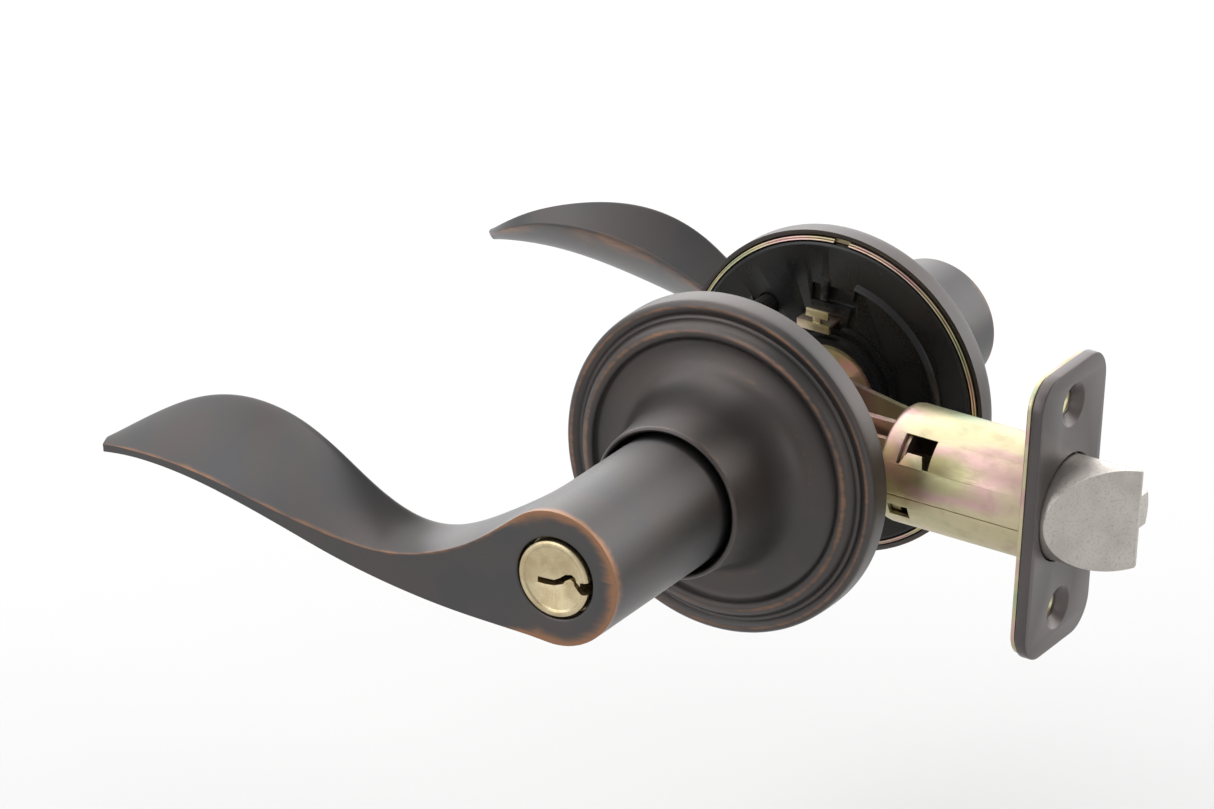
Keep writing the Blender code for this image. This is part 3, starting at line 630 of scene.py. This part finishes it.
def blade_loop(station, side, end):
    """The points around one station, in the order of the neck's opening."""
    x, ridge_z, ridge_d, top_z, top_d, back_z, back_d, bottom_z = station
    ridge = Vector((x, ridge_d, ridge_z))
    bottom = Vector((x, ridge_d + 0.3, bottom_z))
    back = Vector((x, back_d, back_z))
    top = Vector((x, top_d, top_z))
    across = ROOT_LAST - ROOT_FIRST
    shares = [depth / ROOT_DEPTHS[-1] for depth in ROOT_DEPTHS]
    crown = min(0.8, 0.05 * (top - ridge).length)
    keel = min(1.6, 0.1 * (back - bottom).length)
    points = [ridge.lerp(bottom, step / across) for step in range(across + 1)]
    for share in shares[1:]:
        points.append(bottom.lerp(back, share) + Vector((0, 0, -keel * math.sin(math.pi * share))))
    points += [back.lerp(top, step / across) for step in range(1, across + 1)]
    for share in reversed(shares[1:-1]):
        points.append(ridge.lerp(top, share) + Vector((0, 0, crown * math.sin(math.pi * share))))
    return [Vector((p.x, side * (end - p.y), p.z)) for p in points]


def neck_circle(bm, radius, side, y):
    radius = radius / ROUND_SHRINK
    circle = []
    for column in range(NECK_SIDES):
        angle = math.tau * column / NECK_SIDES
        circle.append(bm.verts.new((radius * math.cos(angle), side * y, radius * math.sin(angle))))
    return circle


def bridge(bm, first, second):
    for step in range(len(first)):
        after = (step + 1) % len(first)
        bm.faces.new([first[step], first[after], second[after], second[step]])


def close_tip(bm, loop, across, deep):
    """Fills the blade's last loop with a grid."""
    grid = [[None] * (deep + 1) for _ in range(across + 1)]
    for step in range(across + 1):
        grid[step][0] = loop[step]
        grid[across - step][deep] = loop[across + deep + step]
    for row in range(1, deep):
        grid[across][row] = loop[across + row]
        grid[0][deep - row] = loop[(2 * across + deep + row) % len(loop)]
    for step in range(1, across):
        for row in range(1, deep):
            grid[step][row] = bm.verts.new(grid[step][0].co.lerp(grid[step][deep].co, row / deep))
    for step in range(across):
        for row in range(deep):
            bm.faces.new([grid[step][row], grid[step + 1][row], grid[step + 1][row + 1], grid[step][row + 1]])


def lever_cage(side, end, face_hole, seat_depth, end_wear):
    """The lever's subdivision cage, creased and worn along the ridge, the lower edge and the end face."""
    bm = bmesh.new()
    wear = bm.verts.layers.float.new("wear")
    crease = bm.edges.layers.float.new("crease_edge")
    length = end - NECK_BACK
    deep = len(ROOT_DEPTHS) - 1
    across = ROOT_LAST - ROOT_FIRST
    rest = [ROOT_DEPTHS[-1] + (length - ROOT_DEPTHS[-1]) * share for share in (0.33, 0.66, 0.96, 1)]
    neck = [neck_circle(bm, NECK_R, side, end - depth) for depth in list(ROOT_DEPTHS) + rest]
    for row in range(len(neck) - 1):
        for column in range(NECK_SIDES):
            if row < deep and ROOT_FIRST <= column < ROOT_LAST:
                continue
            after = (column + 1) % NECK_SIDES
            bm.faces.new([neck[row][column], neck[row][after], neck[row + 1][after], neck[row + 1][column]])
    chain = [neck[-1]]
    for radius, depth in (
        (NECK_BORE, length),
        (NECK_BORE, seat_depth),
        (face_hole, seat_depth),
        (face_hole, 0.35),
        (face_hole + 0.35, 0.0),
        (face_hole + 1.2, 0.0),
        (NECK_R - 1.1, 0.0),
    ):
        chain.append(neck_circle(bm, radius, side, end - depth))
    chain.append(neck[0])
    for first, second in zip(chain, chain[1:]):
        bridge(bm, first, second)
    loop = [neck[0][column] for column in range(ROOT_FIRST, ROOT_LAST + 1)]
    loop += [neck[row][ROOT_LAST] for row in range(1, deep + 1)]
    loop += [neck[deep][column] for column in range(ROOT_LAST - 1, ROOT_FIRST - 1, -1)]
    loop += [neck[row][ROOT_FIRST] for row in range(deep - 1, 0, -1)]
    columns = [column % NECK_SIDES for column in range(ROOT_LAST, NECK_SIDES + ROOT_FIRST + 1)]
    worn = [neck[0][column] for column in columns]
    for column in columns:
        neck[0][column][wear] = EDGE_WEAR * end_wear
        chain[-2][column][wear] = FACE_WEAR * end_wear
        neck[1][column][wear] = NECK_WEAR * end_wear
    for first, second in zip(worn, worn[1:]):
        bm.edges.get((first, second))[crease] = END_CREASE
    for circle in chain[:4]:
        for first, second in zip(circle, circle[1:] + circle[:1]):
            bm.edges.get((first, second))[crease] = BORE_CREASE
    for station in BLADE:
        after = [bm.verts.new(point) for point in blade_loop(station, side, end)]
        bridge(bm, loop, after)
        after[0][wear] = 1.0
        for step, share in zip(range(-2, 3), BACK_WEAR):
            after[across + deep + step][wear] = share
        bm.edges.get((loop[0], after[0]))[crease] = RIDGE_CREASE
        bm.edges.get((loop[across], after[across]))[crease] = RIDGE_CREASE
        loop = after
    for first, second in zip(loop, loop[1:] + loop[:1]):
        bm.edges.get((first, second))[crease] = TIP_CREASE
    close_tip(bm, loop, across, deep)
    return bm


def catch_hole(side):
    return moved(onto_z(disc(CATCH_HOLE_R, 8.0, NECK_R + 2)), y=side * CATCH_Y)


def add_lever(name, side, end, face_hole, seat_depth, sag, end_wear, body, node):
    bm = lever_cage(side, end, face_hole, seat_depth, end_wear)
    bmesh.ops.rotate(bm, matrix=Matrix.Rotation(sag, 3, "Y"), verts=bm.verts)
    lever = solid(name, bm)
    modifier = lever.modifiers.new("subdivision", "SUBSURF")
    modifier.levels = SUBDIVISIONS
    modifier.render_levels = SUBDIVISIONS
    apply_modifiers(lever)
    cut(lever, catch_hole(side))
    dress(lever, "oil_rubbed_bronze", body, node, sharp=50)


# Roses


def rose_wear(radius, y):
    """Copper shows on the raised ring and, faintly, on the rim, the scratched cone and the collar's lip."""
    height = y - FACE
    if height < 4.2:
        return 0.0
    ring = 0.85 * math.exp(-(((radius - 27.6) / 0.7) ** 2))
    rim = 0.9 * math.exp(-(((radius - 31.7) / 0.5) ** 2))
    scratch = 0.5 * math.exp(-(((radius - 20.6) / 0.9) ** 2))
    lip = 0.5 * math.exp(-(((radius - 15.0) / 0.4) ** 2)) if height > 23 else 0.0
    return min(1.0, ring + rim + scratch + lip)


def add_rose(name, side, rim, wall, node):
    """The stepped rose: a straight rim with a rounded bead, a raised ring and a flared collar."""
    collar = ROSE_TOP - FACE
    outer = [
        (rim, 0.0), (rim, wall - 0.1), (rim - 0.3, wall + 0.9), (rim - 1.3, wall + 1.4),
        (30.6, wall + 1.0), (30.1, 4.6),
        (29.5, 4.7), (29.1, 5.6), (28.5, 6.5), (27.5, 7.0), (26.4, 6.9), (25.9, 6.1), (25.3, 5.5),
        (23.5, 5.4), (20.5, 6.1), (18.2, 7.9), (16.6, 11.4), (15.7, 17.0), (15.05, 23.2),
        (15.0, 24.1), (14.6, collar), (14.3, collar), (13.9, collar - 0.4), (13.9, collar - 1.2),
    ]
    inner = [
        (14.4, 14.0), (16.4, 7.6), (20.0, 4.7), (24.0, 4.0), (30.8, 3.7), (31.4, 3.1), (31.4, 0.2),
        (31.6, 0.0),
    ]
    profile = [(radius, FACE + height) for radius, height in rounded(outer + inner)]
    rose = solid(name, turned(profile, side, 200, True, rose_wear))
    dress(rose, "oil_rubbed_bronze", "root", node, sharp=60)
    rose.data.materials[0] = ROSE_FINISH


def add_liner():
    """The moulded back of the inside rose: ribs round the sleeve, sunk sectors and the clip's window."""
    low = LINER_FACE
    profile = [
        (10.5, low - 2.0), (11.6, low - 2.0), (11.8, low - 0.8), (12.4, low - 0.8), (12.5, low - 0.1),
        (13.2, low - 0.1), (13.3, low - 0.5), (13.9, low - 0.5), (14.0, low), (29.4, low), (29.7, low - 0.15),
        (30.2, low), (30.3, FACE + 0.7), (30.0, FACE + 1.2), (10.5, FACE + 1.2),
    ]
    liner = solid("liner_moulded", turned(profile, 1, 160))
    for _, start, stop in LINER_SECTORS:
        cut(liner, prism(sector(14.4, 23.7, start, stop), low - 1, low + 0.9, along_y))
        cut(liner, prism(sector(22.9, 23.5, start + 2, stop - 2), low, low + 1.1, along_y))
    for offset in (POST_OFFSET, -POST_OFFSET):
        cut(liner, moved(disc(2.3, low - 1, FACE + 2), x=-offset, z=offset))
    cut(liner, block((-6.6, low - 1, 13.4), (1.6, FACE + 2, 15.9)))
    cut(liner, block((-5.4, low - 1, 18.0), (3.4, low + 1.3, 21.6)))
    fuse(liner, block((-3.2, low - 0.5, 18.6), (-1.8, low + 1.2, 22.4)))
    soften(liner, 0.12)
    dress(liner, "black_moulding", "root", "interior_rose_liner")


def add_liner_ribs():
    """The sloped edges of the liner's two raised sectors."""
    low = LINER_FACE
    profile = [(22.6, low + 0.3), (22.6, low - 0.7), (22.8, low - 0.75), (23.9, low), (23.9, low + 0.3)]
    for label, start, stop in LINER_SECTORS:
        rib = solid(f"liner_rib_{label}", turned(profile, 1, 240))
        cut(rib, prism(sector(20, 26, stop, start + 360), low - 2, low + 2, along_y))
        soften(rib, 0.08)
        dress(rib, "black_moulding", "root")


def add_rose_rim():
    """The plated lip between the inside rose and its liner."""
    profile = [
        (30.45, FACE + 0.9), (30.45, FACE - 0.35), (30.6, FACE - 0.55), (30.8, FACE - 0.45),
        (30.85, FACE - 0.1), (31.0, FACE - 0.1), (31.05, FACE - 0.3), (31.2, FACE - 0.2), (31.25, FACE + 0.9),
    ]
    rim = solid("rose_rim_plated", turned(profile, 1, 200))
    cut(rim, block((-1.4, FACE - 2, 29.0), (1.8, FACE + 0.4, 32.0)))
    dress(rim, "yellow_zinc", "root")


def add_clip():
    """The bent spring clip, whose tab comes out through the liner."""
    path = [
        (FACE - 4.6, 13.6), (FACE - 4.8, 15.4), (FACE + 0.5, 15.5), (FACE + 0.5, 14.9), (FACE - 4.1, 14.8),
        (FACE - 3.9, 13.6),
    ]
    clip = solid("clip_bent", prism(path, -6.0, 1.0, along_x))
    fuse(clip, block((-4.2, FACE - 4.7, 16.4), (0.6, FACE - 4.1, 18.0)))
    fuse(clip, block((-2.6, FACE - 4.7, 15.0), (-1.0, FACE - 4.1, 17.0)))
    soften(clip, 0.15)
    dress(clip, "yellow_zinc", "root", "rose_spring_clip")


def add_return_spring(name, side, node):
    points = coil(RETURN_SPRING_R, side * 23.0, side * 28.0, 2.25, along_y)
    points.insert(0, Vector(points[0]) + Vector((3.2, 0, -1.2)))
    points.append(Vector(points[-1]) + Vector((1.2, 0, 3.2)))
    spring = solid(name, wire(points, 0.68))
    dress(spring, "steel", "root", node)


# Key cylinder and turn


def add_plug():
    """The key plug: a rimmed face and a warded keyway."""
    profile = [
        (0, PLUG_FACE - 0.32), (5.9, PLUG_FACE - 0.32), (6.15, PLUG_FACE - 0.22), (6.35, PLUG_FACE - 0.02),
        (6.6, PLUG_FACE), (6.95, PLUG_FACE - 0.02), (7.25, PLUG_FACE - 0.2), (PLUG_R, PLUG_FACE - 0.5),
        (PLUG_R, SHELL_FRONT + 0.6), (6.9, SHELL_FRONT + 0.6), (6.9, SHELL_BACK - 0.4),
        (3.5, SHELL_BACK - 0.4), (3.5, PLUG_BACK), (0, PLUG_BACK),
    ]
    plug = solid("key_plug_machined", turned(profile, OUTSIDE, 128, False))
    upper = [
        (-3.4, -0.4), (-1.9, -0.35), (0.0, -0.2), (1.1, 0.45), (2.3, 1.45), (3.6, 1.8), (4.3, 1.4),
        (4.7, 0.5), (5.4, 0.0), (5.4, 0.65), (8.0, 1.5),
    ]
    under = [
        (8.0, -0.95), (5.7, -1.55), (5.2, -1.15), (4.35, -0.3), (4.05, 0.45), (3.4, 0.9), (2.3, 0.2),
        (1.9, -0.5), (0.0, -1.3), (-1.9, -1.55), (-3.4, -1.55),
    ]
    cut(plug, prism(upper + under, -PLUG_FACE - 1, -PLUG_BACK + 1, along_y))
    soften(plug, 0.12)
    dress(plug, "key_brass", "key_train", "key_plug")


def add_pin():
    """The first pin tumbler, seen in the mouth of the keyway."""
    pin = disc(1.1, -1.6, 0.2, 24)
    bmesh.ops.translate(pin, vec=(2.2, 0, 0), verts=pin.verts)
    bmesh.ops.rotate(pin, matrix=Matrix.Rotation(math.radians(-90), 3, "X"), verts=pin.verts)
    first = solid("pin_tumbler_tip", moved(pin, y=-PLUG_FACE + 4.5))
    soften(first, 0.3, 3)
    dress(first, "key_brass", "key_train")


def add_shell():
    profile = [(7.2, SHELL_BACK), (SLEEVE_R, SHELL_BACK), (SLEEVE_R, SHELL_FRONT), (7.2, SHELL_FRONT)]
    shell = solid("cylinder_shell_turned", turned(profile, OUTSIDE, 96))
    soften(shell, 0.2)
    dress(shell, "key_brass", "outside_handle", "cylinder_shell")


def add_sleeve(name, side, body, node):
    wall = 20.2
    bore = 8.9
    profile = [
        (0, SLEEVE_LOW + 1.4), (9.2, SLEEVE_LOW + 1.4), (9.2, SLEEVE_LOW), (SLEEVE_R, SLEEVE_LOW),
        (SLEEVE_R, SLEEVE_HIGH), (bore, SLEEVE_HIGH), (bore, wall), (0, wall),
    ]
    sleeve = solid(name, turned(profile, side, 96, False))
    cut(sleeve, block((-4.1, side * 18.5 - 3, -4.1), (4.1, side * 18.5 + 3, 4.1)))
    cut(sleeve, catch_hole(side))
    soften(sleeve, 0.25)
    dress(sleeve, "yellow_zinc", body, node)


def add_turn_button():
    """The thumb turn: a dished collar and a waisted grip."""
    face = INSIDE_END + 0.3
    profile = [
        (0, 55.6), (3.7, 55.6), (3.7, face), (6.5, face), (6.9, face + 0.2), (7.0, face + 0.6),
        (6.7, face + 1.2), (6.0, face + 1.5), (4.8, face + 1.4), (0, face + 1.2),
    ]
    button = solid("turn_button_cast", turned(profile, INSIDE, 96, False))
    fuse(button, prism(rounded_outline(6.0, 1.4, 1.3), face + 0.8, face + 6.2, along_y))
    soften(button, 0.35, 3)
    dress(button, "oil_rubbed_bronze", "turn_train", "turn_button")


# Latch


def add_tube():
    """The rolled tube: its end turned in, its seam, a window with a folded tab, and a slot."""
    wall = 0.8
    profile = [
        (TUBE_R - wall - 1.2, TUBE_START + 0.2), (TUBE_R - wall - 0.9, TUBE_START),
        (TUBE_R - 1.3, TUBE_START), (TUBE_R - 0.6, TUBE_START + 0.3), (TUBE_R - 0.15, TUBE_START + 0.9),
        (TUBE_R, TUBE_START + 1.7), (TUBE_R, TUBE_END), (TUBE_R - wall, TUBE_END),
        (TUBE_R - wall, TUBE_START + 1.7),
    ]
    tube = solid("latch_tube_rolled", onto_x(turned(profile, 1, 160)))
    window = block((30.0, -14.0, -3.0), (36.6, -8.0, 3.0))
    cut(tube, spun_round_x(window, WINDOW_TURN))
    slot = block((28.8, -14.0, -1.5), (33.0, -8.0, 1.5))
    cut(tube, spun_round_x(slot, SLOT_TURN))
    seam = block((TUBE_START + 1.6, -14.0, -0.12), (TUBE_END + 1, -TUBE_R + 0.25, 0.12))
    cut(tube, spun_round_x(seam, SEAM_TURN))
    outline = [(30.6, -3.2), (35.6, -3.2), (34.6, -0.6), (31.6, -0.6)]
    tab = prism(outline, -TUBE_R + 0.15, -TUBE_R + 0.75, along_y)
    fuse(tube, spun_round_x(tab, WINDOW_TURN))
    soften(tube, 0.14)
    dress(tube, "yellow_zinc", "root", "latch_tube")


def add_latch_plate(name, slot, corner, edge, node, hole):
    """A latch plate with round corners, the bolt's hole and two screw holes of the profile given."""
    low, high = box_mm(node)
    outline = rounded_outline(high.y, high.z, corner)
    plate = solid(name, prism(outline, low.x, high.x, along_x))
    cut(plate, onto_x(disc(BOLT_R + BOLT_CLEARANCE, low.x - 1, high.x + 1, 96)))
    for z in (PLATE_SCREW_Z, -PLATE_SCREW_Z):
        cut(plate, moved(onto_x(turned(hole, 1, 64, False)), z=z))
    soften(plate, edge, 3)
    dress(plate, slot, "root", node)


def add_latch_plates():
    low = PLATE_BACK
    high = BACKSET
    hole = [(0, low - 1), (2.3, low - 1), (2.3, high - 1.8)]
    hole += [(4.4, high + 0.1), (4.4, high + 1), (0, high + 1)]
    add_latch_plate("faceplate_stamped", "bronze_plate", PLATE_CORNER, 0.45, "latch_faceplate", hole)
    low = BACKPLATE_BACK
    high = BACKPLATE_FRONT
    hole = [(0, low - 1), (3.0, low - 1), (3.0, high + 1), (0, high + 1)]
    add_latch_plate("backplate_stamped", "yellow_zinc", BACKPLATE_CORNER, 0.2, "latch_backplate", hole)


def add_bolt():
    """The full-round bolt: bevelled towards the outside, flat at the back, slotted and bored."""
    bolt = solid("latch_bolt_cast", onto_x(disc(BOLT_R, BOLT_BACK, BOLT_TIP, 160)))
    start = Vector((BACKSET + 0.7, -BOLT_R))
    stop = Vector((BOLT_TIP, 2.9))
    ahead = (stop - start).normalized() * 30
    wedge = [start - ahead, stop + ahead, Vector((stop.x + ahead.x, -60)), Vector((start.x - ahead.x, -60))]
    cut(bolt, prism([tuple(point) for point in wedge], -20, 20, along_z))
    cut(bolt, block((BOLT_BACK + 1.5, 4.0, -3.85), (BOLT_TIP + 1, 12, 3.85)))
    cut(bolt, block((BACKSET - 1.0, BOLT_FLAT, -12), (BOLT_TIP + 1, 12, 12)))
    cut(bolt, block((BOLT_BACK - 1, -4.9, -4.9), (BOLT_BACK + 6, -2.8, 4.9)))
    cut(bolt, moved(onto_x(disc(2.9, BOLT_BACK - 1, BOLT_BACK + 13.5)), y=BOLT_SPRING_Y))
    soften(bolt, 0.35, 3)
    dress(bolt, "satin_nickel", "bolt", "latch_bolt")


def add_plunger():
    """The deadlocking plunger, whose outer side follows the bolt's round."""
    points = [(PLUNGER_FLOOR, -PLUNGER_HALF)]
    for step in range(25):
        z = PLUNGER_HALF * (step / 12 - 1)
        points.append((math.sqrt(PLUNGER_ROUND**2 - z**2), z))
    points.append((PLUNGER_FLOOR, PLUNGER_HALF))
    plunger = solid("deadlock_plunger_cast", prism(points, PLUNGER_LOW, PLUNGER_HIGH, along_x))
    soften(plunger, 0.5, 4)
    dress(plunger, "satin_nickel", "plunger", "deadlock_plunger")


def add_latch_springs():
    low, high = box_mm("bolt_spring")
    middle = Vector((0, BOLT_SPRING_Y, 0))
    points = [Vector(p) + middle for p in coil(2.1, low.x + 0.4, high.x - 0.4, 8, along_x, 24)]
    spring = solid("bolt_spring_wound", wire(points, 0.38, 8))
    dress(spring, "steel", "root", "bolt_spring")
    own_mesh(spring)
    low, high = box_mm("plunger_spring")
    middle = Vector((0, PLUNGER_SPRING_Y, 0))
    points = [Vector(p) + middle for p in coil(1.2, low.x + 0.25, high.x - 0.25, 5, along_x, 20)]
    spring = solid("plunger_spring_wound", wire(points, 0.24, 8))
    dress(spring, "steel", "bolt", "plunger_spring")
    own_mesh(spring)


def finish_cad_nodes():
    """The CAD nodes that stay get their finish and slightly rounded edges."""
    for part in frame["record"]["subparts"]:
        obj = frame["nodes"][part["node"]]
        if obj.hide_render:
            continue
        obj.data.materials.clear()
        obj.data.materials.append(FINISHES[part["material_slot"]])
        soften(obj, 0.18)


# Stage


def add_camera():
    back = Vector((math.sin(CAMERA_TURN), -math.cos(CAMERA_TURN), math.tan(CAMERA_RISE))).normalized()
    level = Vector((math.cos(CAMERA_TURN), math.sin(CAMERA_TURN), 0))
    above = back.cross(level)
    right = level * math.cos(CAMERA_ROLL) + above * math.sin(CAMERA_ROLL)
    up = above * math.cos(CAMERA_ROLL) - level * math.sin(CAMERA_ROLL)
    matrix = Matrix((right, up, back)).transposed().to_4x4()
    matrix.translation = back * CAMERA_AWAY + right * CAMERA_ASIDE + up * CAMERA_ABOVE
    data = bpy.data.cameras.new("camera")
    data.lens = CAMERA_LENS
    data.clip_start = 0.05
    camera = bpy.data.objects.new("camera", data)
    camera.matrix_world = matrix
    bpy.context.scene.collection.objects.link(camera)
    bpy.context.scene.camera = camera


def add_light(name, place, size, watts, colour):
    """A soft square light that looks at the lockset's middle."""
    data = bpy.data.lights.new(name, "AREA")
    data.shape = "SQUARE"
    data.size = size
    data.energy = watts
    data.color = colour
    light = bpy.data.objects.new(name, data)
    light.location = place
    light.rotation_euler = (-Vector(place)).to_track_quat("-Z", "Y").to_euler()
    bpy.context.scene.collection.objects.link(light)


def add_stage():
    for light in LIGHTS:
        add_light(*light)
    floor = CAD_BOX[0][2] - PRESSED_REACH
    mesh = bpy.data.meshes.new("floor")
    corners = [(x * FLOOR_HALF, y * FLOOR_HALF, floor) for x, y in ((-1, -1), (1, -1), (1, 1), (-1, 1))]
    mesh.from_pydata(corners, [], [(0, 1, 2, 3)])
    stage = bpy.data.objects.new("floor", mesh)
    bpy.context.scene.collection.objects.link(stage)
    paper = bpy.data.materials.new("floor_paper")
    paper.use_nodes = True
    shader = paper.node_tree.nodes["Principled BSDF"]
    shader.inputs["Base Color"].default_value = (FLOOR_SHADE, FLOOR_SHADE, FLOOR_SHADE, 1.0)
    shader.inputs["Roughness"].default_value = 0.9
    mesh.materials.append(paper)
    world = bpy.data.worlds.new("studio")
    world.use_nodes = True
    world.node_tree.nodes["Background"].inputs["Color"].default_value = (1.0, 1.0, 1.0, 1.0)
    world.node_tree.nodes["Background"].inputs["Strength"].default_value = SKY
    bpy.context.scene.world = world
    bpy.context.scene.view_settings.view_transform = "Standard"


def build():
    add_camera()
    add_stage()
    outside = (OUTSIDE, OUTSIDE_END, PLUG_R + PLUG_CLEARANCE, OUTSIDE_SEAT, 0.0, 1.0)
    add_lever("exterior_lever_cast", *outside, "outside_handle", "exterior_lever")
    inside = (INSIDE, INSIDE_END, TURN_HOLE, INSIDE_SEAT, INSIDE_SAG, 0.5)
    add_lever("interior_lever_cast", *inside, "inside_handle", "interior_lever")
    add_rose("exterior_rose_spun", OUTSIDE, ROSE_R, ROSE_WALL, "exterior_rose")
    add_rose("interior_rose_spun", INSIDE, INSIDE_ROSE_R, INSIDE_ROSE_WALL, "interior_rose")
    add_liner()
    add_liner_ribs()
    add_rose_rim()
    add_clip()
    add_return_spring("exterior_return_spring_wound", OUTSIDE, "exterior_return_spring")
    add_return_spring("interior_return_spring_wound", INSIDE, "interior_return_spring")
    add_plug()
    add_pin()
    add_shell()
    add_sleeve("exterior_sleeve_turned", OUTSIDE, "outside_handle", "exterior_sleeve")
    add_sleeve("interior_sleeve_turned", INSIDE, "inside_handle", "interior_sleeve")
    add_turn_button()
    add_tube()
    add_latch_plates()
    add_bolt()
    add_plunger()
    add_latch_springs()
    finish_cad_nodes()


build()
